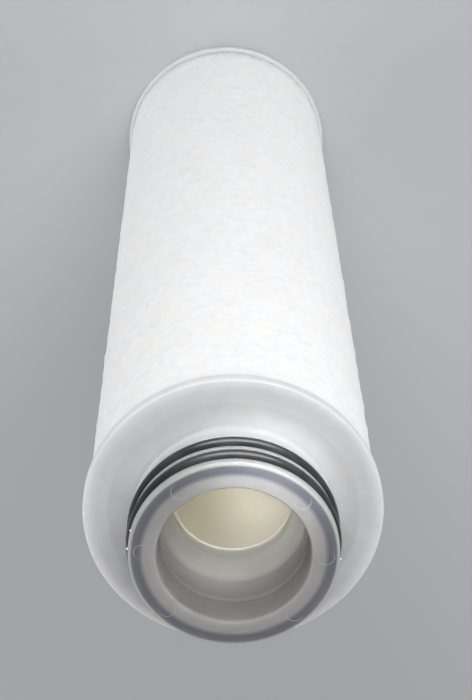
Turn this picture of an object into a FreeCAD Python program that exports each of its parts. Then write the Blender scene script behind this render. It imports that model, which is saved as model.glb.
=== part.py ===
"""Ten-inch melt-blown water filter cartridge with a double O-ring adapter.

The cartridge stands on its closed cap. Z is its axis and points towards the adapter, and the
origin is the centre of the closed cap's outer face. Sizes are in millimetres.
"""
import FreeCAD
import Part
import Sketcher
import os

os.makedirs("parts", exist_ok=True)
doc = FreeCAD.newDocument("water_filter_cartridge")


# Driving dimensions. Every size that can be set by itself is one cell.
DRIVING = [
    # sleeve of filter medium
    ("medium_radius", 31.3),
    ("medium_bore_radius", 14.3),
    ("medium_length", 242.0),
    # both end caps, and the spigots that centre them in the sleeve
    ("cap_overhang", 1.2),
    ("cap_edge_round", 0.5),
    ("closed_cap_thickness", 3.0),
    ("flange_thickness", 3.0),
    ("spigot_length", 4.5),
    ("spigot_wall", 1.15),
    ("spigot_clearance", 0.15),
    ("spigot_lead", 0.4),
    # O-rings and their grooves
    ("ring_cord", 3.53),
    ("ring_seat_gap", 0.03),
    ("rear_ring_set_back", 0.33),
    ("front_ring_set_back", 0.12),
    ("groove_floor_radius", 19.07),
    ("groove_depth", 3.0),
    ("groove_side_clearance", 0.41),
    ("groove_corner", 0.25),
    # outside of the collar, from the flange forwards
    ("neck_relief", 0.47),
    ("neck_length", 3.1),
    ("neck_round", 0.8),
    ("rear_land_width", 2.0),
    ("middle_land_width", 1.0),
    ("front_land_width", 2.1),
    ("land_edge", 0.2),
    ("collar_front_round", 0.7),
    # bore of the collar, from its mouth inwards
    ("collar_wall", 2.97),
    ("mouth_length", 7.4),
    ("mouth_round", 0.5),
    ("mouth_step", 0.5),
    ("funnel_height", 4.5),
    ("funnel_step", 0.5),
]

# Heights and radii that follow from the driving dimensions.
FOLLOWING = [
    ("medium_top", "closed_cap_thickness + medium_length"),
    ("cap_radius", "medium_radius + cap_overhang"),
    ("flange_front", "medium_top + flange_thickness"),
    ("spigot_radius", "medium_bore_radius - spigot_clearance"),
    ("spigot_bore_radius", "spigot_radius - spigot_wall"),
    ("spigot_end", "medium_top - spigot_length"),
    ("closed_spigot_end", "closed_cap_thickness + spigot_length"),
    ("land_radius", "groove_floor_radius + groove_depth"),
    ("neck_radius", "land_radius - neck_relief"),
    ("rear_land_start", "flange_front + neck_length"),
    ("neck_end", "rear_land_start - neck_relief"),
    ("groove_width", "ring_cord + 2 * groove_side_clearance"),
    ("groove_pitch", "groove_width + middle_land_width"),
    ("rear_groove_start", "rear_land_start + rear_land_width"),
    ("rear_groove_end", "rear_groove_start + groove_width"),
    ("front_groove_start", "rear_groove_start + groove_pitch"),
    ("front_groove_end", "front_groove_start + groove_width"),
    ("collar_front", "front_groove_end + front_land_width"),
    ("ring_radius", "groove_floor_radius + ring_seat_gap + ring_cord / 2"),
    ("rear_ring_height", "rear_groove_start + groove_width / 2 - rear_ring_set_back"),
    ("front_ring_height", "front_groove_start + groove_width / 2 - front_ring_set_back"),
    ("mouth_radius", "groove_floor_radius - collar_wall"),
    ("bore_radius", "mouth_radius - mouth_step"),
    ("mouth_step_height", "collar_front - mouth_length"),
    ("mouth_step_end", "mouth_step_height - mouth_step"),
    ("funnel_top", "medium_top + funnel_height"),
    ("funnel_radius", "bore_radius - funnel_step"),
    ("funnel_step_end", "funnel_top + funnel_step"),
]

ON_AXIS = None
AT_ZERO = None
FULL_TURN = 360.0
RING_COUNT = 2
# the largest difference, in mm or mm3, that still counts as equal
TOUCH = 1e-4


def make_sheet():
    """The spreadsheet of driving dimensions, with what follows from them as formulas."""
    sheet = doc.addObject("Spreadsheet::Sheet", "dims")
    rows = [(name, str(value)) for name, value in DRIVING]
    rows += [(name, "=" + formula) for name, formula in FOLLOWING]
    for row, (name, content) in enumerate(rows, start=1):
        sheet.set(f"A{row}", name)
        sheet.setAlias(f"B{row}", name)
        sheet.set(f"B{row}", content)
    doc.recompute()
    return sheet


dims = make_sheet()


def size(name):
    """The present value of a named size."""
    return float(dims.get(name))


def make_body(name):
    """An empty body whose label names the piece."""
    body = doc.addObject("PartDesign::Body", name)
    body.Label = name
    return body


def half_section_sketch(body, name):
    """An empty sketch in the body's own XZ plane, radius across and height up."""
    planes = [plane for plane in body.Origin.OriginFeatures if plane.Role == "XZ_Plane"]
    sketch = body.newObject("Sketcher::SketchObject", name)
    sketch.AttachmentSupport = [(planes[0], "")]
    sketch.MapMode = "FlatFace"
    return sketch


def bind(sketch, kind, reference, name):
    """Adds a dimension to a sketch and ties it to a named size."""
    index = sketch.addConstraint(Sketcher.Constraint(kind, *reference, size(name)))
    sketch.setExpression(f"Constraints[{index}]", f"dims.{name}")


def draw_section(sketch, corners):
    """A closed outline of straight edges whose corners sit at named radii and heights."""
    places = [
        FreeCAD.Vector(
            0.0 if radius is ON_AXIS else size(radius),
            0.0 if height is AT_ZERO else size(height),
            0.0,
        )
        for radius, height in corners
    ]
    start, end = 1, 2
    origin, height_axis, radius_axis = -1, -2, -1
    for edge, place in enumerate(places):
        following = places[(edge + 1) % len(places)]
        sketch.addGeometry(Part.LineSegment(place, following), False)
    for edge in range(len(places)):
        previous = (edge - 1) % len(places)
        sketch.addConstraint(Sketcher.Constraint("Coincident", previous, end, edge, start))
    for edge, (radius, height) in enumerate(corners):
        if radius is ON_AXIS:
            sketch.addConstraint(Sketcher.Constraint("PointOnObject", edge, start, height_axis))
        else:
            bind(sketch, "DistanceX", (origin, start, edge, start), radius)
        if height is AT_ZERO:
            sketch.addConstraint(Sketcher.Constraint("PointOnObject", edge, start, radius_axis))
        else:
            bind(sketch, "DistanceY", (origin, start, edge, start), height)


def turn(body, kind, name, sketch):
    """Sweeps a section once round the cartridge's axis, as a solid or as a cut."""
    feature = body.newObject(kind, name)
    feature.Profile = sketch
    feature.ReferenceAxis = (sketch, ["V_Axis"])
    feature.Angle = FULL_TURN
    sketch.Visibility = False
    doc.recompute()
    return feature


def circular_edges(feature, places):
    """Names of a feature's circular edges at the given named radii and heights."""
    names = []
    for radius, height in places:
        wanted_height = 0.0 if height is AT_ZERO else size(height)
        found = [
            f"Edge{number}"
            for number, edge in enumerate(feature.Shape.Edges, start=1)
            if isinstance(edge.Curve, Part.Circle)
            and abs(edge.Curve.Radius - size(radius)) < TOUCH
            and abs(edge.Curve.Center.z - wanted_height) < TOUCH
        ]
        if not found:
            raise RuntimeError(f"{feature.Label} has no edge at {radius}, {height}")
        names += found
    return names


def soften(body, kind, name, base, places, amount, setting):
    """Rounds or chamfers the circular edges at the given places by a named amount."""
    feature = body.newObject(kind, name)
    feature.Base = (base, circular_edges(base, places))
    feature.setExpression(setting, f"dims.{amount}")
    doc.recompute()
    return feature


def must_cut(before, after):
    """A cut that points away from the solid leaves its volume as it was."""
    if after.Shape.Volume > before.Shape.Volume - TOUCH:
        raise RuntimeError(f"{after.Label} removed nothing")


def make_adapter_cap():
    """The moulded cap: flange, double-grooved collar, stepped bore, funnel and spigot."""
    body = make_body("adapter_cap")
    section = half_section_sketch(body, "adapter_section")
    draw_section(section, [
        ("spigot_bore_radius", "spigot_end"),
        ("spigot_radius", "spigot_end"),
        ("spigot_radius", "medium_top"),
        ("cap_radius", "medium_top"),
        ("cap_radius", "flange_front"),
        ("neck_radius", "flange_front"),
        ("neck_radius", "neck_end"),
        ("land_radius", "rear_land_start"),
        ("land_radius", "collar_front"),
        ("mouth_radius", "collar_front"),
        ("mouth_radius", "mouth_step_height"),
        ("bore_radius", "mouth_step_end"),
        ("bore_radius", "funnel_step_end"),
        ("funnel_radius", "funnel_top"),
        ("spigot_bore_radius", "medium_top"),
    ])
    blank = turn(body, "PartDesign::Revolution", "adapter_blank", section)

    groove_section = half_section_sketch(body, "groove_section")
    draw_section(groove_section, [
        ("groove_floor_radius", "rear_groove_start"),
        ("cap_radius", "rear_groove_start"),
        ("cap_radius", "rear_groove_end"),
        ("groove_floor_radius", "rear_groove_end"),
    ])
    groove = turn(body, "PartDesign::Groove", "rear_ring_groove", groove_section)
    must_cut(blank, groove)

    grooves = body.newObject("PartDesign::LinearPattern", "ring_grooves")
    grooves.Originals = [groove]
    grooves.Direction = (groove_section, ["V_Axis"])
    grooves.Occurrences = RING_COUNT
    grooves.setExpression("Length", "dims.groove_pitch")
    body.Tip = grooves
    doc.recompute()
    must_cut(groove, grooves)

    groove_walls = ["rear_groove_start", "rear_groove_end", "front_groove_start", "front_groove_end"]
    floor_corners = [("groove_floor_radius", wall) for wall in groove_walls]
    land_edges = [("land_radius", wall) for wall in groove_walls]
    spigot_lead = [("spigot_radius", "spigot_end")]
    shape = grooves
    for name, places, amount in [
        ("groove_corners", floor_corners, "groove_corner"),
        ("land_edges", land_edges, "land_edge"),
        ("spigot_lead_in", spigot_lead, "spigot_lead"),
    ]:
        shape = soften(body, "PartDesign::Chamfer", name, shape, places, amount, "Size")
    flange_edges = [("cap_radius", "medium_top"), ("cap_radius", "flange_front")]
    for name, places, amount in [
        ("collar_front_edge", [("land_radius", "collar_front")], "collar_front_round"),
        ("mouth_lip", [("mouth_radius", "collar_front")], "mouth_round"),
        ("neck_fillet", [("neck_radius", "flange_front")], "neck_round"),
        ("flange_edges", flange_edges, "cap_edge_round"),
    ]:
        shape = soften(body, "PartDesign::Fillet", name, shape, places, amount, "Radius")
    return body


def make_closed_cap():
    """The flat cap on the far end, which the cartridge stands on, with its hollow spigot."""
    body = make_body("closed_cap")
    section = half_section_sketch(body, "closed_section")
    draw_section(section, [
        (ON_AXIS, AT_ZERO),
        ("cap_radius", AT_ZERO),
        ("cap_radius", "closed_cap_thickness"),
        ("spigot_radius", "closed_cap_thickness"),
        ("spigot_radius", "closed_spigot_end"),
        ("spigot_bore_radius", "closed_spigot_end"),
        ("spigot_bore_radius", "closed_cap_thickness"),
        (ON_AXIS, "closed_cap_thickness"),
    ])
    disc = turn(body, "PartDesign::Revolution", "closed_blank", section)
    rim = [("cap_radius", AT_ZERO), ("cap_radius", "closed_cap_thickness")]
    rounded = soften(body, "PartDesign::Fillet", "rim_edges", disc, rim, "cap_edge_round", "Radius")
    lead = [("spigot_radius", "closed_spigot_end")]
    soften(body, "PartDesign::Chamfer", "closed_lead_in", rounded, lead, "spigot_lead", "Size")
    return body


def make_filter_medium():
    """The melt-blown sleeve: one thick-walled tube between the faces of the two caps."""
    body = make_body("filter_medium")
    section = half_section_sketch(body, "medium_section")
    draw_section(section, [
        ("medium_bore_radius", "closed_cap_thickness"),
        ("medium_radius", "closed_cap_thickness"),
        ("medium_radius", "medium_top"),
        ("medium_bore_radius", "medium_top"),
    ])
    turn(body, "PartDesign::Revolution", "medium_tube", section)
    return body


def make_o_ring(name, height):
    """A rubber ring of round cord, drawn at zero height and placed in its groove."""
    body = make_body(name)
    section = half_section_sketch(body, name + "_section")
    centre = FreeCAD.Vector(size("ring_radius"), 0.0, 0.0)
    section.addGeometry(Part.Circle(centre, FreeCAD.Vector(0, 0, 1), size("ring_cord") / 2), False)
    circle, centre_point, origin, radius_axis = 0, 3, -1, -1
    section.addConstraint(
        Sketcher.Constraint("PointOnObject", circle, centre_point, radius_axis))
    bind(section, "DistanceX", (origin, 1, circle, centre_point), "ring_radius")
    bind(section, "Diameter", (circle,), "ring_cord")
    turn(body, "PartDesign::Revolution", name + "_cord", section)
    body.setExpression("Placement.Base.z", f"dims.{height}")
    doc.recompute()
    return body


def check(pieces):
    """Stops before anything is written if a feature failed or a piece isn't one sound solid."""
    for item in doc.Objects:
        if "Invalid" in item.State or "Error" in item.State:
            raise RuntimeError(f"{item.Label} failed: {item.State}")
    for piece in pieces:
        shape = piece.Shape
        if shape.isNull() or not shape.isValid() or len(shape.Solids) != 1:
            raise RuntimeError(f"{piece.Label} is not one valid solid")


pieces = [
    make_closed_cap(),
    make_filter_medium(),
    make_adapter_cap(),
    make_o_ring("rear_o_ring", "rear_ring_height"),
    make_o_ring("front_o_ring", "front_ring_height"),
]
doc.recompute()
check(pieces)
for piece in pieces:
    piece.Shape.exportStep(f"parts/{piece.Label}.step")
    box = piece.Shape.BoundBox
    print(f"{piece.Label}: {piece.Shape.Volume:.1f} mm3, z {box.ZMin:.2f} to {box.ZMax:.2f}")
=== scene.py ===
"""A ten-inch melt-blown water filter cartridge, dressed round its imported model.

It stands on its closed cap, with Z up along its axis. Lengths are in metres, and mm turns the real
sizes into them.
"""

import math

import bpy
from mathutils import Matrix, Vector


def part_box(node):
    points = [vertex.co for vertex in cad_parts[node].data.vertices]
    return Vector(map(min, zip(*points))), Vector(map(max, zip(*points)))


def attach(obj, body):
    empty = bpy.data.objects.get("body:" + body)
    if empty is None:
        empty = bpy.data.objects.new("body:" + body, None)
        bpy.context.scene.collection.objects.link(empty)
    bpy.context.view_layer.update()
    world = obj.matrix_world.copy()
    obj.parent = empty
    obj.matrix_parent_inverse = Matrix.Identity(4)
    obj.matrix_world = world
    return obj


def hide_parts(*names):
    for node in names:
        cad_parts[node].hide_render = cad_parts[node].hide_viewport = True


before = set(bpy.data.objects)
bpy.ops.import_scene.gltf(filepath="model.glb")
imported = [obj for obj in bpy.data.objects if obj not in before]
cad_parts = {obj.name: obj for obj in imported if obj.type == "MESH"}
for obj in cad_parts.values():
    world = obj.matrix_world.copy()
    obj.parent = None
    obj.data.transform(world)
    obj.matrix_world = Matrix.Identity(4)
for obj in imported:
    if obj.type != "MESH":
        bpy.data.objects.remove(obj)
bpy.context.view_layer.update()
mm = 0.001


# The camera looks down on the adapter from beside the cartridge's axis, as the photograph does. The
# photograph shows the cartridge lying down, so the camera is rolled to keep it the same way up.
camera_data = bpy.data.cameras.new("photo_camera")
camera_data.sensor_width = 36.0
camera_data.lens = 93.92
camera_data.clip_start = 0.01
camera = bpy.data.objects.new("photo_camera", camera_data)
bpy.context.scene.collection.objects.link(camera)
bpy.context.scene.camera = camera
across = Vector((0.99992, 0.00538, 0.01130))
upwards = Vector((0.0, 0.90290, -0.42985))
camera_place = Vector((-4.32, 201.23, 588.06)) * mm
camera.matrix_world = Matrix((across, upwards, across.cross(upwards))).transposed().to_4x4()
camera.matrix_world.translation = camera_place


# The closed cap is the flat disc of natural polypropylene that the cartridge stands on. It is
# injection moulded in one piece with a short hollow spigot, and heat-bonded to the sleeve's end.
def add(tree, kind, inputs=(), **settings):
    """A node of that kind with its settings, and its inputs, by name or number, set or linked."""
    node = tree.nodes.new(kind)
    for key, value in settings.items():
        setattr(node, key, value)
    for key, value in dict(inputs).items():
        if isinstance(value, bpy.types.NodeSocket):
            tree.links.new(value, node.inputs[key])
        else:
            node.inputs[key].default_value = value
    return node


def noise(tree, place, scale, detail=3.0, roughness=0.55, distortion=0.0):
    """Noise over the piece, as a factor."""
    return add(tree, "ShaderNodeTexNoise", {
        "Vector": place, "Scale": scale, "Detail": detail,
        "Roughness": roughness, "Distortion": distortion,
    }).outputs["Fac"]


def spread(tree, factor, low, high, start=0.35, end=0.65, interpolation_type="LINEAR"):
    """A factor's range from start to end, mapped to low and high."""
    inputs = {"Value": factor, "From Min": start, "From Max": end, "To Min": low, "To Max": high}
    node = add(tree, "ShaderNodeMapRange", inputs, interpolation_type=interpolation_type)
    return node.outputs["Result"]


def calculate(tree, operation, *values):
    """One sum on sockets or plain numbers."""
    return add(tree, "ShaderNodeMath", enumerate(values), operation=operation).outputs[0]


def between(tree, factor, first, second, blend_type="MIX"):
    """A colour between two, which are plain colours or sockets.

    The Mix node takes colours in at its sockets 6 and 7, and gives one out at 2.
    """
    inputs = {"Factor": factor}
    for socket, colour in ((6, first), (7, second)):
        inputs[socket] = (*colour, 1.0) if isinstance(colour, tuple) else colour
    return add(tree, "ShaderNodeMix", inputs, data_type="RGBA", blend_type=blend_type).outputs[2]


def new_finish(name):
    """A material, with its node tree, its Principled shader and its Object coordinates."""
    material = bpy.data.materials.new(name)
    material.use_nodes = True
    tree = material.node_tree
    place = add(tree, "ShaderNodeTexCoord").outputs["Object"]
    return material, tree, tree.nodes["Principled BSDF"], place


def roughen(tree, shader, grain, distance, strength=1.0):
    """Bumps a shader's surface by a grain of that depth."""
    inputs = {"Height": grain, "Distance": distance, "Strength": strength}
    bump = add(tree, "ShaderNodeBump", inputs)
    tree.links.new(bump.outputs["Normal"], shader.inputs["Normal"])


def natural_polypropylene(name, pale, deep, light_reach, light_and_shade_painter=None):
    """Milky translucent polypropylene, satin as moulded, with faint flow marks and fine scuffs."""
    material, tree, shader, place = new_finish(name)
    flow = noise(tree, place, scale=90.0, detail=4.0, distortion=1.2)
    colour = between(tree, spread(tree, flow, 0.0, 1.0), deep, pale)
    # Where a painter is given, it paints light and shade into the colour for what would show through
    # the plastic.
    if light_and_shade_painter:
        colour = light_and_shade_painter(tree, place, colour)
    tree.links.new(colour, shader.inputs["Base Color"])
    scuffs = noise(tree, place, scale=260.0)
    tree.links.new(spread(tree, scuffs, 0.38, 0.50), shader.inputs["Roughness"])
    roughen(tree, shader, noise(tree, place, scale=1400.0, detail=2.0), 0.012 * mm)
    shader.inputs["IOR"].default_value = 1.49
    shader.inputs["Subsurface Weight"].default_value = 1.0
    shader.inputs["Subsurface Radius"].default_value = (1.0, 0.9, 0.78)
    shader.inputs["Subsurface Scale"].default_value = light_reach
    return material


def rounded_outline(corners, steps=5):
    """Places and outward normals along an outline whose corners are (radius, height, round).

    Only a corner on the axis has no round.
    """
    outline = []
    for index, (radius, height, rounding) in enumerate(corners):
        here = Vector((radius, height))
        before = (Vector(corners[index - 1][:2]) - here).normalized()
        after = (Vector(corners[(index + 1) % len(corners)][:2]) - here).normalized()
        if not rounding:
            outline.append((here, Vector((0.0, -1.0 if index == 0 else 1.0))))
            continue
        half_angle = before.angle(after) / 2
        turn = 1 if before.x * after.y - before.y * after.x < 0 else -1
        middle = here + (before + after).normalized() * rounding / math.sin(half_angle)
        start = here + before * rounding / math.tan(half_angle)
        sweep = (math.pi - 2 * half_angle) * turn
        for step in range(steps + 1):
            spoke = Matrix.Rotation(sweep * step / steps, 2) @ (start - middle)
            outline.append((middle + spoke, spoke.normalized() * turn))
    return outline


def turned_mesh(name, outline, around, material, own_normals=True):
    """A closed mesh swept once round the Z axis. A place on the axis becomes one point."""
    points, normals, rows, faces = [], [], [], []
    for place, normal in outline:
        copies = around if place.x else 1
        rows.append([len(points) + step % copies for step in range(around)])
        for step in range(copies):
            angle = math.tau * step / around
            points.append((place.x * math.cos(angle), place.x * math.sin(angle), place.y))
            normals.append((normal.x * math.cos(angle), normal.x * math.sin(angle), normal.y))
    for row, following in zip(rows, rows[1:] + rows[:1]):
        for step in range(around):
            beside = (step + 1) % around
            corners = (row[step], row[beside], following[beside], following[step])
            face = list(dict.fromkeys(corners))
            if len(face) > 2:
                faces.append(face)
    mesh = bpy.data.meshes.new(name)
    mesh.from_pydata(points, [], faces)
    mesh.shade_smooth()
    if own_normals:
        mesh.normals_split_custom_set_from_vertices(normals)
    mesh.materials.append(material)
    return mesh


def show(name, mesh, slot, *nodes):
    """Puts a finished mesh on the cartridge's one body, in place of the nodes it stands for."""
    piece = bpy.data.objects.new(name, mesh)
    bpy.context.scene.collection.objects.link(piece)
    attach(piece, "root")
    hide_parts(*nodes)


plastic_pale = (0.755, 0.755, 0.775)
plastic_deep = (0.70, 0.70, 0.72)
light_reach = 8.0 * mm
closed_finish = natural_polypropylene("natural_polypropylene", plastic_pale, plastic_deep, light_reach)
cap_around = 320
cap_low, cap_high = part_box("closed_cap")
sleeve_low, sleeve_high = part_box("filter_medium")
cap_radius = cap_high.x
cap_edge_round = 0.5 * mm
spigot_radius = 14.15 * mm
spigot_wall = 1.15 * mm
spigot_lead = 0.4 * mm
spigot_bore = spigot_radius - spigot_wall
inner_edge = 0.2 * mm
closed_outline = rounded_outline([
    (0.0, cap_low.z, 0.0),
    (cap_radius, cap_low.z, cap_edge_round),
    (cap_radius, sleeve_low.z, cap_edge_round),
    (spigot_radius, sleeve_low.z, inner_edge),
    (spigot_radius, cap_high.z, spigot_lead),
    (spigot_bore, cap_high.z, inner_edge),
    (spigot_bore, sleeve_low.z, inner_edge),
    (0.0, sleeve_low.z, 0.0),
])
closed_mesh = turned_mesh("closed_end_cap", closed_outline, cap_around, closed_finish)
show("closed_end_cap", closed_mesh, "natural_polypropylene", "closed_cap")


# The sleeve is the filter itself: polypropylene fibres blown on to a turning mandrel until they make
# one thick porous tube, white and matted outside and fused smoother inside, where a cream is painted
# in for light yellowed in the fibre, darker down the bore as painted shade. Its ends are
# bonded to the caps, and its mesh stops a hair short of them, so that no faces coincide.
def geometry_tree(name, inputs):
    """An empty Geometry Nodes tree with a geometry in and out and its named inputs."""
    tree = bpy.data.node_groups.new(name, "GeometryNodeTree")
    tree.interface.new_socket("Geometry", in_out="INPUT", socket_type="NodeSocketGeometry")
    tree.interface.new_socket("Geometry", in_out="OUTPUT", socket_type="NodeSocketGeometry")
    for label, kind in inputs:
        tree.interface.new_socket(label, in_out="INPUT", socket_type=kind)
    return tree, tree.nodes.new("NodeGroupInput").outputs, tree.nodes.new("NodeGroupOutput")


def finish_tree(tree, geometry, material, output):
    """Ends a tree with its instances made real and its material set."""
    real = add(tree, "GeometryNodeRealizeInstances", {"Geometry": geometry})
    coloured = add(tree, "GeometryNodeSetMaterial", {"Geometry": real.outputs[0], "Material": material})
    tree.links.new(coloured.outputs[0], output.inputs[0])


def grown_mesh(name, start, tree, sizes):
    """The plain mesh that a tree makes of a start mesh with the given sizes."""
    holder = bpy.data.objects.new(name, start)
    bpy.context.scene.collection.objects.link(holder)
    modifier = holder.modifiers.new(name, "NODES")
    modifier.node_group = tree
    for socket in tree.interface.items_tree:
        if socket.name in sizes:
            modifier[socket.identifier] = sizes[socket.name]
    evaluated = holder.evaluated_get(bpy.context.evaluated_depsgraph_get())
    mesh = bpy.data.meshes.new_from_object(evaluated)
    bpy.data.objects.remove(holder)
    mesh.name = name
    return mesh


def on_vector(tree, operation, inputs, output=0):
    """One step of vector sums on sockets or plain vectors."""
    return add(tree, "ShaderNodeVectorMath", inputs, operation=operation).outputs[output]


def off_axis(tree, place):
    """A place's offset from the cartridge's axis, and the length of that offset."""
    offset = on_vector(tree, "MULTIPLY", {0: place, 1: (1.0, 1.0, 0.0)})
    return offset, on_vector(tree, "LENGTH", {0: offset}, "Value")


def height_of(tree, place):
    """A place's height above the floor."""
    return add(tree, "ShaderNodeSeparateXYZ", {0: place}).outputs["Z"]


def melt_blown_fibre(name, light_reach):
    """White matted fibre that lets light wander through it, with a cream painted in towards the bore
    for light yellowed in the fibre, darker down the bore as painted shade.
    """
    material, tree, shader, place = new_finish(name)
    radius = off_axis(tree, place)[1]
    # Painted light and shade: cream towards the bore for light yellowed in the fibre, deepening further
    # down the bore as shade.
    painted_cream_amount = spread(tree, radius, 1.0, 0.0, core_radius, skin_radius, "SMOOTHSTEP")
    depth = spread(tree, height_of(tree, place), 1.0, 0.0, sleeve_high.z - painted_cream_fade, sleeve_high.z)
    cream = between(tree, depth, painted_cream_at_mouth, painted_cream_shade_below)
    lay = noise(tree, place, scale=420.0, detail=4.0, roughness=0.6, distortion=0.4)
    white = between(tree, spread(tree, lay, 0.0, 1.0), fibre_hollow, fibre_crest)
    tree.links.new(between(tree, painted_cream_amount, white, cream), shader.inputs["Base Color"])
    fine = noise(tree, place, scale=2000.0, detail=3.0, roughness=0.6, distortion=0.8)
    roughen(tree, shader, fine, 0.13 * mm, strength=0.8)
    shader.inputs["Roughness"].default_value = 0.9
    shader.inputs["Specular IOR Level"].default_value = 0.25
    shader.inputs["Subsurface Weight"].default_value = 1.0
    shader.inputs["Subsurface Radius"].default_value = (1.0, 0.93, 0.8)
    shader.inputs["Subsurface Scale"].default_value = light_reach
    return material


def matting_tree():
    """The height, in metres, of the matted surface over a plain cylinder at a position."""
    tree = bpy.data.node_groups.new("matting", "GeometryNodeTree")
    tree.interface.new_socket("Depth", in_out="INPUT", socket_type="NodeSocketFloat")
    tree.interface.new_socket("Position", in_out="INPUT", socket_type="NodeSocketVector")
    tree.interface.new_socket("Height", in_out="OUTPUT", socket_type="NodeSocketFloat")
    inputs = tree.nodes.new("NodeGroupInput").outputs
    clumps = noise(tree, inputs["Position"], scale=480.0, detail=3.0, roughness=0.6, distortion=0.9)
    waves = noise(tree, inputs["Position"], scale=190.0, detail=1.0)
    swell = calculate(tree, "MULTIPLY", waves, wave_share)
    both = calculate(tree, "MULTIPLY_ADD", clumps, clump_share, swell)
    height = calculate(tree, "MULTIPLY", spread(tree, both, -1.0, 1.0, 0.25, 0.75), inputs["Depth"])
    tree.links.new(height, tree.nodes.new("NodeGroupOutput").inputs[0])
    return tree


def matted_height(tree, matting, depth, place):
    """The matted surface's height at a place."""
    inputs = {"Depth": depth, "Position": place}
    return add(tree, "GeometryNodeGroup", inputs, node_tree=matting).outputs[0]


def moved(tree, geometry, how, vector):
    """A geometry with each point moved by an Offset, or to a Position."""
    return add(tree, "GeometryNodeSetPosition", {"Geometry": geometry, how: vector}).outputs[0]


def sleeve_tree(matting, material):
    """Pushes the outer wall of a plain tube in and out by the matting, and leaves its bore smooth."""
    tree, inputs, output = geometry_tree("matted_sleeve", [
        ("Depth", "NodeSocketFloat"), ("Bore Radius", "NodeSocketFloat"),
        ("Outer Radius", "NodeSocketFloat"),
    ])
    place = add(tree, "GeometryNodeInputPosition").outputs[0]
    offset, radius = off_axis(tree, place)
    outward = on_vector(tree, "NORMALIZE", {0: offset})
    height = matted_height(tree, matting, inputs["Depth"], place)
    outside = spread(tree, radius, 0.0, 1.0, inputs["Bore Radius"], inputs["Outer Radius"])
    amount = calculate(tree, "MULTIPLY", height, outside)
    push = on_vector(tree, "SCALE", {0: outward, "Scale": amount})
    finish_tree(tree, moved(tree, inputs["Geometry"], "Offset", push), material, output)
    return tree


sleeve_radius = sleeve_high.x
sleeve_bore = 14.3 * mm
skin_radius = 29.0 * mm
core_radius = 25.5 * mm
matting_depth = 0.38 * mm
clump_share = 0.55
wave_share = 0.45
fibre_hollow = (0.90, 0.90, 0.91)
fibre_crest = (0.96, 0.96, 0.96)
# Painted cream for light yellowed in the fibre, darker below as painted shade.
painted_cream_at_mouth = (0.93, 0.905, 0.80)
painted_cream_shade_below = (0.76, 0.715, 0.57)
painted_cream_fade = 45.0 * mm
cap_gap = 0.05 * mm
sleeve_around = 264
sleeve_rows = 322
wall_low = sleeve_low.z + cap_gap
wall_high = sleeve_high.z - cap_gap
wall_round = 0.4 * mm
sleeve_outline = rounded_outline([
    (sleeve_bore, wall_low, wall_round),
    (sleeve_radius, wall_low, wall_round),
    (sleeve_radius, wall_high, wall_round),
    (sleeve_bore, wall_high, wall_round),
])
half_way = len(sleeve_outline) // 2
(wall_start, wall_normal), (wall_end, _) = sleeve_outline[half_way - 1:half_way + 1]
sleeve_outline[half_way:half_way] = [
    (wall_start.lerp(wall_end, row / sleeve_rows), wall_normal) for row in range(1, sleeve_rows)
]
fibre = melt_blown_fibre("melt_blown_fibre", light_reach)
matting = matting_tree()
sleeve_mesh = grown_mesh(
    "melt_blown_sleeve",
    turned_mesh("plain_tube", sleeve_outline, sleeve_around, fibre, own_normals=False),
    sleeve_tree(matting, fibre),
    {"Depth": matting_depth, "Bore Radius": sleeve_bore, "Outer Radius": sleeve_radius},
)
show("melt_blown_sleeve", sleeve_mesh, "melt_blown_fibre", "filter_medium")


# Coarser strands of the same fibre lie loose on the sleeve, in short curls that dip in and out of its
# matted skin. The blowing head throws them at every angle.
def wander(tree, scale, size):
    """An offset that drifts with noise over the points' places, up to half the size each way."""
    place = add(tree, "GeometryNodeInputPosition").outputs[0]
    drift = add(tree, "ShaderNodeTexNoise", {"Vector": place, "Scale": scale, "Detail": 2.0})
    centred = on_vector(tree, "SUBTRACT", {0: drift.outputs["Color"], 1: (0.5, 0.5, 0.5)})
    return on_vector(tree, "SCALE", {0: centred, "Scale": size})


def circle(tree, radius, points):
    """A circle as a curve."""
    inputs = {"Resolution": points, "Radius": radius}
    return add(tree, "GeometryNodeCurvePrimitiveCircle", inputs).outputs[0]


def rod(tree, curve, radius, sides, ends=True):
    """A curve given a round section, and closed ends where it has ends."""
    inputs = {"Curve": curve, "Profile Curve": circle(tree, radius, sides), "Fill Caps": ends}
    return add(tree, "GeometryNodeCurveToMesh", inputs).outputs[0]


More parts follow.
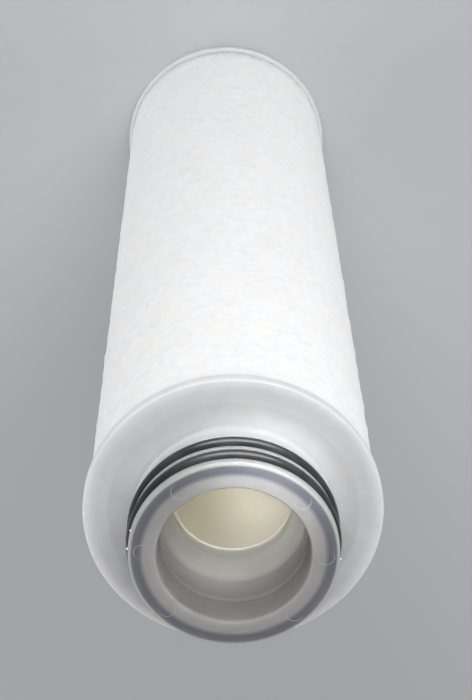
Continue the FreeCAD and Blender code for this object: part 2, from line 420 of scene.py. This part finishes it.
def loose_fibres_tree(matting, material):
    """Wavy strands scattered over a flat sheet, which is then wrapped round the sleeve."""
    tree, inputs, output = geometry_tree("loose_fibres", [
        ("Sleeve Radius", "NodeSocketFloat"), ("Sleeve Low", "NodeSocketFloat"),
        ("Sleeve High", "NodeSocketFloat"), ("Depth", "NodeSocketFloat"),
        ("Strands", "NodeSocketInt"), ("Strand Length", "NodeSocketFloat"),
        ("Strand Radius", "NodeSocketFloat"), ("Waviness", "NodeSocketFloat"),
        ("Seed", "NodeSocketInt"),
    ])
    girth = calculate(tree, "MULTIPLY", inputs["Sleeve Radius"], math.tau)
    span = calculate(tree, "SUBTRACT", inputs["Sleeve High"], inputs["Sleeve Low"])
    middle = calculate(tree, "ADD", inputs["Sleeve Low"], calculate(tree, "MULTIPLY", span, 0.5))
    sheet = add(tree, "GeometryNodeMeshGrid", {
        "Size X": girth, "Size Y": span, "Vertices X": 2, "Vertices Y": 2,
    })
    density = calculate(tree, "DIVIDE", inputs["Strands"], calculate(tree, "MULTIPLY", girth, span))
    sites = add(tree, "GeometryNodeDistributePointsOnFaces", {
        "Mesh": sheet.outputs["Mesh"], "Density": density, "Seed": inputs["Seed"],
    })
    ends = {"Start": (-0.5, 0.0, 0.0), "End": (0.5, 0.0, 0.0)}
    line = add(tree, "GeometryNodeCurvePrimitiveLine", ends)
    strand = add(tree, "GeometryNodeResampleCurve", {"Curve": line.outputs[0], "Count": strand_points})
    heading = add(tree, "FunctionNodeRandomValue", {
        0: (0.0, 0.0, -math.pi / 2), 1: (0.0, 0.0, math.pi / 2), "Seed": 1,
    }, data_type="FLOAT_VECTOR")
    stretch = add(tree, "FunctionNodeRandomValue", {
        2: shortest_strand, 3: longest_strand, "Seed": 2,
    }, data_type="FLOAT")
    length = calculate(tree, "MULTIPLY", stretch.outputs[1], inputs["Strand Length"])
    scattered = add(tree, "GeometryNodeInstanceOnPoints", {
        "Points": sites.outputs["Points"], "Instance": strand.outputs[0],
        "Rotation": heading.outputs[0], "Scale": length,
    })
    loose = add(tree, "GeometryNodeRealizeInstances", {"Geometry": scattered.outputs[0]})
    waves = wander(tree, strand_curl, inputs["Waviness"])
    wavy = moved(tree, loose.outputs[0], "Offset", waves)

    flat_place = add(tree, "GeometryNodeInputPosition").outputs[0]
    part = add(tree, "ShaderNodeSeparateXYZ", {0: flat_place}).outputs
    angle = calculate(tree, "DIVIDE", part["X"], inputs["Sleeve Radius"])
    sine = calculate(tree, "SINE", angle)
    cosine = calculate(tree, "COSINE", angle)
    limit = calculate(tree, "MULTIPLY", span, 0.5)
    above_low = calculate(tree, "MAXIMUM", part["Y"], calculate(tree, "MULTIPLY", limit, -1.0))
    up = calculate(tree, "ADD", calculate(tree, "MINIMUM", above_low, limit), middle)
    on_wall = add(tree, "ShaderNodeCombineXYZ", {
        "X": calculate(tree, "MULTIPLY", cosine, inputs["Sleeve Radius"]),
        "Y": calculate(tree, "MULTIPLY", sine, inputs["Sleeve Radius"]),
        "Z": up,
    }).outputs[0]
    height = matted_height(tree, matting, inputs["Depth"], on_wall)
    rise = calculate(tree, "MULTIPLY", part["Z"], strand_lift)
    skin = calculate(tree, "ADD", inputs["Sleeve Radius"], height)
    reach = calculate(tree, "ADD", skin, rise)
    wrapped_place = add(tree, "ShaderNodeCombineXYZ", {
        "X": calculate(tree, "MULTIPLY", cosine, reach),
        "Y": calculate(tree, "MULTIPLY", sine, reach),
        "Z": up,
    }).outputs[0]
    wrapped = moved(tree, wavy, "Position", wrapped_place)
    finish_tree(tree, rod(tree, wrapped, inputs["Strand Radius"], sides=3), material, output)
    return tree


strand_points = 9
strand_lift = 0.08
strand_curl = 330.0
shortest_strand = 0.4
longest_strand = 1.6
thin_reach = 0.05 * mm
loose_fibre = melt_blown_fibre("loose_fibre", thin_reach)
fibres_mesh = grown_mesh(
    "loose_fibres",
    bpy.data.meshes.new("no_fibres_yet"),
    loose_fibres_tree(matting, loose_fibre),
    {
        "Sleeve Radius": sleeve_radius, "Sleeve Low": wall_low + wall_round,
        "Sleeve High": wall_high - wall_round, "Depth": matting_depth, "Strands": 3200,
        "Strand Length": 5.0 * mm, "Strand Radius": 0.04 * mm, "Waviness": 2.6 * mm, "Seed": 7,
    },
)
show("loose_fibres", fibres_mesh, "melt_blown_fibre")


# The adapter cap is the moulded end that seals in the housing: a flange, a collar with two O-ring
# grooves, a stepped bore with a funnel, and a spigot in the sleeve. It is one piece of the same milky
# plastic, heat-bonded to the sleeve's upper end.
def tinted(tree, colour, amount, tint):
    """A colour multiplied by a tint, by that amount."""
    return between(tree, amount, colour, tint, "MULTIPLY")


def fade(tree, factor, low, high, middle, blur):
    """A soft step from low to high about a middle."""
    return spread(tree, factor, low, high, middle - blur, middle + blur, "SMOOTHSTEP")


def paint_seen_through_light_and_shade(tree, place, colour):
    """Paints light and shade into the milky plastic's colour for what would show through it: painted
    shade on the collar, in the collar's bore, on the inner flange and over the front O-ring, and
    painted light on the spigot inside the sleeve.
    """
    radius = off_axis(tree, place)[1]
    height = height_of(tree, place)
    # Painted shade: the collar above the flange, with no sleeve behind it, is painted darker.
    collar_shade_amount = spread(tree, height, 0.0, 1.0, flange_front, rear_groove_high, "SMOOTHSTEP")
    colour = tinted(tree, colour, collar_shade_amount, collar_painted_shade)
    # Painted light and shade in the bore: darker up the collar's bore, and lighter on the spigot inside
    # the sleeve, where light through the sleeve falls.
    bore_light_and_shade_amount = spread(tree, radius, 1.0, 0.0, mouth_radius, mouth_radius + mouth_round, "SMOOTHSTEP")
    past_spigot = spread(tree, height, 0.0, 1.0, sleeve_high.z, sleeve_high.z + spigot_blur)
    colour = tinted(tree, colour, bore_light_and_shade_amount, between(tree, past_spigot, spigot_painted_light, bore_painted_shade))
    # Painted shade: the flange is painted a little darker and creamier inside the weld radius, over the
    # sleeve's wall.
    on_flange = spread(tree, height, 1.0, 0.0, flange_front, flange_front + neck_round)
    over_wall = fade(tree, radius, 1.0, 0.0, weld_radius, weld_blur)
    colour = tinted(tree, colour, calculate(tree, "MULTIPLY", on_flange, over_wall), flange_painted_shade)
    # Painted shade: a dark blue-grey band on the front face, over the front O-ring that shows through
    # the milky land.
    on_front = spread(tree, height, 0.0, 1.0, front_groove_high, front_groove_high + land_edge)
    ring_starts = fade(tree, radius, 0.0, 1.0, ring_inside, ring_blur)
    ring_stops = fade(tree, radius, 1.0, 0.0, ring_outside, rim_blur)
    over_ring = calculate(tree, "MULTIPLY", ring_starts, ring_stops)
    return tinted(tree, colour, calculate(tree, "MULTIPLY", on_front, over_ring), ring_painted_shade)


adapter_low, adapter_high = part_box("adapter_cap")
front_ring_low, front_ring_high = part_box("front_o_ring")
rear_ring_low, rear_ring_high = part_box("rear_o_ring")
mark_height = 0.03 * mm
flange_thickness = 3.0 * mm
neck_length = 3.1 * mm
neck_relief = 0.47 * mm
neck_round = 0.8 * mm
rear_land = 2.0 * mm
middle_land = 1.0 * mm
front_land = 2.1 * mm
land_radius = 22.07 * mm
land_edge = 0.2 * mm
groove_floor = 19.07 * mm
groove_corner = 0.25 * mm
collar_front_round = 0.7 * mm
mouth_radius = 16.1 * mm
mouth_round = 0.5 * mm
mouth_length = 7.4 * mm
mouth_step = 0.5 * mm
funnel_height = 4.5 * mm
collar_front = adapter_high.z - mark_height
flange_front = sleeve_high.z + flange_thickness
rear_land_low = flange_front + neck_length
rear_groove_low = rear_land_low + rear_land
front_groove_high = adapter_high.z - front_land
groove_width = (front_groove_high - rear_groove_low - middle_land) / 2
rear_groove_high = rear_groove_low + groove_width
front_groove_low = front_groove_high - groove_width
neck_radius = land_radius - neck_relief
mouth_low = adapter_high.z - mouth_length
bore_radius = mouth_radius - mouth_step
funnel_high = sleeve_high.z + funnel_height
adapter_outline = rounded_outline([
    (spigot_bore, adapter_low.z, inner_edge),
    (spigot_radius, adapter_low.z, spigot_lead),
    (spigot_radius, sleeve_high.z, inner_edge),
    (adapter_high.x, sleeve_high.z, cap_edge_round),
    (adapter_high.x, flange_front, cap_edge_round),
    (neck_radius, flange_front, neck_round),
    (neck_radius, rear_land_low - neck_relief, inner_edge),
    (land_radius, rear_land_low, inner_edge),
    (land_radius, rear_groove_low, land_edge),
    (groove_floor, rear_groove_low, groove_corner),
    (groove_floor, rear_groove_high, groove_corner),
    (land_radius, rear_groove_high, land_edge),
    (land_radius, front_groove_low, land_edge),
    (groove_floor, front_groove_low, groove_corner),
    (groove_floor, front_groove_high, groove_corner),
    (land_radius, front_groove_high, land_edge),
    (land_radius, collar_front, collar_front_round),
    (mouth_radius, collar_front, mouth_round),
    (mouth_radius, mouth_low, inner_edge),
    (bore_radius, mouth_low - mouth_step, inner_edge),
    (bore_radius, funnel_high + mouth_step, inner_edge),
    (bore_radius - mouth_step, funnel_high, inner_edge),
    (spigot_bore, sleeve_high.z, inner_edge),
])
# Tints of painted light and shade: the collar, bore, inner flange and front band darker, the spigot
# lighter.
collar_painted_shade = (0.53, 0.522, 0.507)
spigot_painted_light = (1.22, 1.16, 1.04)
bore_painted_shade = (0.70, 0.702, 0.685)
flange_painted_shade = (0.92, 0.912, 0.885)
ring_painted_shade = (0.43, 0.47, 0.54)
spigot_blur = 6.0 * mm
weld_radius = 27.1 * mm
weld_blur = 0.4 * mm
ring_inside = 19.3 * mm
ring_outside = 21.45 * mm
ring_blur = 0.7 * mm
rim_blur = 0.3 * mm
# The adapter's plastic has light and shade painted into its colour for what would show through it.
adapter_painted_finish = natural_polypropylene(
    "adapter_polypropylene_painted_light_and_shade", plastic_pale, plastic_deep, light_reach, paint_seen_through_light_and_shade
)
adapter_mesh = turned_mesh("adapter_end_cap", adapter_outline, cap_around, adapter_painted_finish)
show("adapter_end_cap", adapter_mesh, "natural_polypropylene", "adapter_cap")


# Six ejector pins pushed the adapter out of its mould. Each left a thin raised ring of flash on the
# collar's front face, a little whiter than the plastic round it.
def on_circle(degrees, radius, height):
    """The place at that angle round the axis."""
    angle = math.radians(degrees)
    return (radius * math.cos(angle), radius * math.sin(angle), height)


def sites_mesh(name, places, edges=()):
    """A mesh of bare points, and edges between them, for a tree to start from."""
    mesh = bpy.data.meshes.new(name)
    mesh.from_pydata(places, edges, [])
    return mesh


def ring_marks_tree(material):
    """A thin ring of round section at each point of the start mesh, leaning its own way."""
    tree, inputs, output = geometry_tree("ejector_rings", [
        ("Ring Radius", "NodeSocketFloat"), ("Line Radius", "NodeSocketFloat"),
        ("Tilt", "NodeSocketFloat"), ("Seed", "NodeSocketInt"),
    ])
    path = circle(tree, inputs["Ring Radius"], mark_points)
    ring = rod(tree, path, inputs["Line Radius"], line_sides, ends=False)
    way = add(tree, "FunctionNodeRandomValue", {
        0: (-math.pi,) * 3, 1: (math.pi,) * 3, "Seed": inputs["Seed"],
    }, data_type="FLOAT_VECTOR")
    turn = add(tree, "ShaderNodeSeparateXYZ", {0: way.outputs[0]}).outputs["Z"]
    lean = add(tree, "ShaderNodeCombineXYZ", {
        "X": calculate(tree, "MULTIPLY", calculate(tree, "COSINE", turn), inputs["Tilt"]),
        "Y": calculate(tree, "MULTIPLY", calculate(tree, "SINE", turn), inputs["Tilt"]),
    })
    rings = add(tree, "GeometryNodeInstanceOnPoints", {
        "Points": inputs["Geometry"], "Instance": ring, "Rotation": lean.outputs[0],
    })
    finish_tree(tree, rings.outputs[0], material, output)
    return tree


whitened_pale = (0.66, 0.66, 0.68)
whitened_deep = (0.60, 0.60, 0.62)
whitened = natural_polypropylene("whitened_polypropylene", whitened_pale, whitened_deep, thin_reach)
mark_points = 56
line_sides = 8
pin_angles = (-1.0, 43.0, -48.0, 177.0, 126.0, -137.0)
pin_circle = 19.1 * mm
pin_radius = 1.75 * mm
mark_line = 0.055 * mm
mark_tilt = math.radians(0.65)
mark_middle = adapter_high.z - mark_line - pin_radius * math.sin(mark_tilt)
mark_places = [on_circle(angle, pin_circle, mark_middle) for angle in pin_angles]
mark_sites = sites_mesh("ejector_sites", mark_places)
marks_mesh = grown_mesh(
    "ejector_marks",
    mark_sites,
    ring_marks_tree(whitened),
    {"Ring Radius": pin_radius, "Line Radius": mark_line, "Tilt": mark_tilt, "Seed": 5},
)
show("ejector_marks", marks_mesh, "natural_polypropylene")


# The two side blocks of the mould meet along a line on each side of the collar. A fine line of flash
# runs down the neck and lands there. Torn crumbs of flash are left on the front land's edge, and one
# on the flange's edge.
def flash_line_tree(material):
    """A fine round-sectioned line along each edge of the start mesh."""
    tree, inputs, output = geometry_tree("flash_lines", [("Line Radius", "NodeSocketFloat")])
    lines = add(tree, "GeometryNodeMeshToCurve", {"Mesh": inputs["Geometry"]})
    rods = rod(tree, lines.outputs[0], inputs["Line Radius"], line_sides)
    finish_tree(tree, rods, material, output)
    return tree


def crumbs_tree(material):
    """An uneven crumb at each point of the start mesh, each turned its own way by the seed."""
    tree, inputs, output = geometry_tree("flash_crumbs", [
        ("Crumb Radius", "NodeSocketFloat"), ("Seed", "NodeSocketInt"),
    ])
    ball = add(tree, "GeometryNodeMeshIcoSphere", {"Radius": inputs["Crumb Radius"], "Subdivisions": 3})
    heading = add(tree, "FunctionNodeRandomValue", {
        0: (-math.pi,) * 3, 1: (math.pi,) * 3, "Seed": inputs["Seed"],
    }, data_type="FLOAT_VECTOR")
    crumbs = add(tree, "GeometryNodeInstanceOnPoints", {
        "Points": inputs["Geometry"], "Instance": ball.outputs[0],
        "Rotation": heading.outputs[0], "Scale": crumb_shape,
    })
    real = add(tree, "GeometryNodeRealizeInstances", {"Geometry": crumbs.outputs[0]})
    size = calculate(tree, "MULTIPLY", inputs["Crumb Radius"], crumb_lumps)
    torn = moved(tree, real.outputs[0], "Offset", wander(tree, crumb_grain, size))
    finish_tree(tree, torn, material, output)
    return tree


parting_angles = (-4.0, 176.0)
flash_line = 0.05 * mm
flash_runs = [
    [(neck_radius, flange_front + neck_round), (neck_radius, rear_land_low - neck_relief),
     (land_radius, rear_land_low), (land_radius, rear_groove_low - land_edge)],
    [(land_radius, rear_groove_high + land_edge), (land_radius, front_groove_low - land_edge)],
    [(land_radius, front_groove_high + land_edge), (land_radius, collar_front - collar_front_round)],
]
flash_points, flash_edges = [], []
for angle in parting_angles:
    for run in flash_runs:
        for step, (radius, height) in enumerate(run):
            if step:
                flash_edges.append((len(flash_points) - 1, len(flash_points)))
            flash_points.append(on_circle(angle, radius, height))
flash_sites = sites_mesh("flash_sites", flash_points, flash_edges)
flash_mesh = grown_mesh(
    "parting_line", flash_sites, flash_line_tree(whitened), {"Line Radius": flash_line}
)
show("parting_line", flash_mesh, "natural_polypropylene")

crumb_radius = 0.3 * mm
crumb_shape = (1.0, 0.8, 0.6)
crumb_grain = 5000.0
crumb_lumps = 0.7
collar_crumb = land_radius + 0.1 * mm
collar_crumb_height = collar_front - 0.6 * mm
flange_crumb = adapter_high.x - 0.4 * mm
flange_crumb_height = flange_front - 0.1 * mm
crumb_places = (
    (-2.5, collar_crumb, collar_crumb_height),
    (164.5, collar_crumb, collar_crumb_height),
    (176.0, collar_crumb, collar_crumb_height),
    (179.0, flange_crumb, flange_crumb_height),
)
# The torn flash is whitened, and painted brighter still as a highlight.
torn_pale_with_highlight = (0.95, 0.95, 0.97)
torn_deep_with_highlight = (0.90, 0.90, 0.92)
torn_highlight_finish = natural_polypropylene("torn_polypropylene", torn_pale_with_highlight, torn_deep_with_highlight, thin_reach)
crumb_sites = sites_mesh("crumb_sites", [on_circle(*place) for place in crumb_places])
crumbs_mesh = grown_mesh(
    "flash_crumbs", crumb_sites, crumbs_tree(torn_highlight_finish), {"Crumb Radius": crumb_radius, "Seed": 3}
)
show("flash_crumbs", crumbs_mesh, "natural_polypropylene")


# The two O-rings seal the collar in the housing. They are moulded black nitrile rubber of round
# section, stretched into their grooves, with a fine line of flash round the outside of each.
def black_rubber(name):
    """Satin black rubber with a faint dusty bloom and the fine grain of its mould."""
    material, tree, shader, place = new_finish(name)
    bloom = noise(tree, place, scale=140.0, detail=5.0, roughness=0.65)
    dusty = between(tree, spread(tree, bloom, 0.0, 1.0, 0.45, 0.8), clean_rubber, dusty_rubber)
    tree.links.new(dusty, shader.inputs["Base Color"])
    tree.links.new(spread(tree, bloom, 0.30, 0.40), shader.inputs["Roughness"])
    roughen(tree, shader, noise(tree, place, scale=1800.0, detail=3.0), 0.02 * mm, strength=0.6)
    shader.inputs["IOR"].default_value = 1.52
    return material


def cord_outline(middle, cord_radius):
    """A round section with a fine ridge at its outermost place, where the two mould halves met."""
    outline = []
    for step in range(cord_steps):
        angle = math.tau * step / cord_steps
        spoke = Vector((math.cos(angle), math.sin(angle)))
        ridge = -ridge_height if step else 0.0
        outline.append((middle + spoke * (cord_radius + ridge), spoke))
    return outline


clean_rubber = (0.016, 0.017, 0.019)
dusty_rubber = (0.04, 0.041, 0.043)
rubber = black_rubber("black_rubber")
cord_steps = 56
ridge_height = 0.03 * mm
ring_around = 288
for name, node, ring_low, ring_high in (
    ("rear_o_ring_rubber", "rear_o_ring", rear_ring_low, rear_ring_high),
    ("front_o_ring_rubber", "front_o_ring", front_ring_low, front_ring_high),
):
    cord_radius = (ring_high.z - ring_low.z) / 2
    cord_middle = Vector((ring_high.x - cord_radius, ring_low.z + cord_radius))
    ring_outline = cord_outline(cord_middle, cord_radius)
    ring_mesh = turned_mesh(name, ring_outline, ring_around, rubber, own_normals=False)
    show(name, ring_mesh, "black_rubber", node)


# The floor is a plain pale sheet. One soft lamp stands above the side that is lit in the photograph,
# with three weak fills round the cartridge, an overhead sheen on the rubber, and two small lamps for
# the light that soaks through the sleeve: one on the collar's front, one deep in its bore.
def lamp(name, kind, watts, place, aim, unseen_by, **settings):
    """A lamp of that kind and power, turned to its aim, and unseen by those kinds of ray."""
    data = bpy.data.lights.new(name, kind)
    data.energy = watts
    for key, value in settings.items():
        setattr(data, key, value)
    holder = bpy.data.objects.new(name, data)
    bpy.context.scene.collection.objects.link(holder)
    holder.location = place
    holder.rotation_euler = (Vector(aim) - holder.location).to_track_quat("-Z", "Y").to_euler()
    for ray in unseen_by:
        setattr(holder, f"visible_{ray}", False)


def panel(name, watts, place, aim, length, width, unseen_by):
    """A soft flat lamp of that length and width."""
    lamp(name, "AREA", watts, place, aim, unseen_by, shape="RECTANGLE", size=length, size_y=width)


def spot(name, watts, place, aim, degrees, blend, unseen_by):
    """A small round lamp that lights a cone of that many degrees."""
    lamp(
        name, "SPOT", watts, place, aim, unseen_by,
        spot_size=math.radians(degrees), spot_blend=blend, shadow_soft_size=spot_radius,
    )


half_floor = 40.0
floor_colour = (0.55, 0.56, 0.58, 1.0)
floor_data = bpy.data.meshes.new("floor")
floor_data.from_pydata(
    [(-half_floor, -half_floor, 0), (half_floor, -half_floor, 0),
     (half_floor, half_floor, 0), (-half_floor, half_floor, 0)],
    [],
    [(0, 1, 2, 3)],
)
floor = bpy.data.objects.new("floor", floor_data)
bpy.context.scene.collection.objects.link(floor)
floor_finish, _, floor_shader, _ = new_finish("pale_floor")
floor_shader.inputs["Base Color"].default_value = floor_colour
floor_shader.inputs["Roughness"].default_value = 0.8
floor_shader.inputs["Specular IOR Level"].default_value = 0.0
floor_data.materials.append(floor_finish)

spot_radius = 8.0 * mm
panel(
    "key", watts=3.5, place=(0.08, 0.47, 0.61), aim=(0.0, 0.0, 0.24),
    length=0.7, width=0.4, unseen_by=("camera", "glossy"),
)
for fill_name, fill_watts, fill_place in (
    ("left_fill", 5.2, (-1.00, -0.38, 0.26)),
    ("right_fill", 3.7, (1.00, -0.38, 0.26)),
    ("back_fill", 1.1, (0.10, 1.00, 0.26)),
):
    panel(
        fill_name, fill_watts, fill_place, aim=(0.0, 0.0, 0.10),
        length=1.0, width=0.25, unseen_by=("camera", "glossy"),
    )
panel(
    "overhead_sheen", watts=17.0, place=(0.06, 0.75, 0.10), aim=(0.0, 0.0, 0.25),
    length=0.9, width=0.5, unseen_by=("camera", "diffuse"),
)
spot(
    "bore_light", watts=14.5, place=(0.0, 0.255, 0.70), aim=(0.0065, 0.017, collar_front),
    degrees=3.5, blend=1.0, unseen_by=("glossy",),
)
spot(
    "bore_glow", watts=0.45, place=(0.0, 0.0, 0.120), aim=(0.0, 0.0, collar_front),
    degrees=24.0, blend=0.5, unseen_by=("camera", "glossy"),
)

world = bpy.data.worlds.new("studio")
bpy.context.scene.world = world
world.use_nodes = True
room = world.node_tree.nodes["Background"]
room.inputs["Color"].default_value = (1.0, 1.0, 1.0, 1.0)
room.inputs["Strength"].default_value = 0.29
bpy.context.scene.view_settings.view_transform = "Standard"
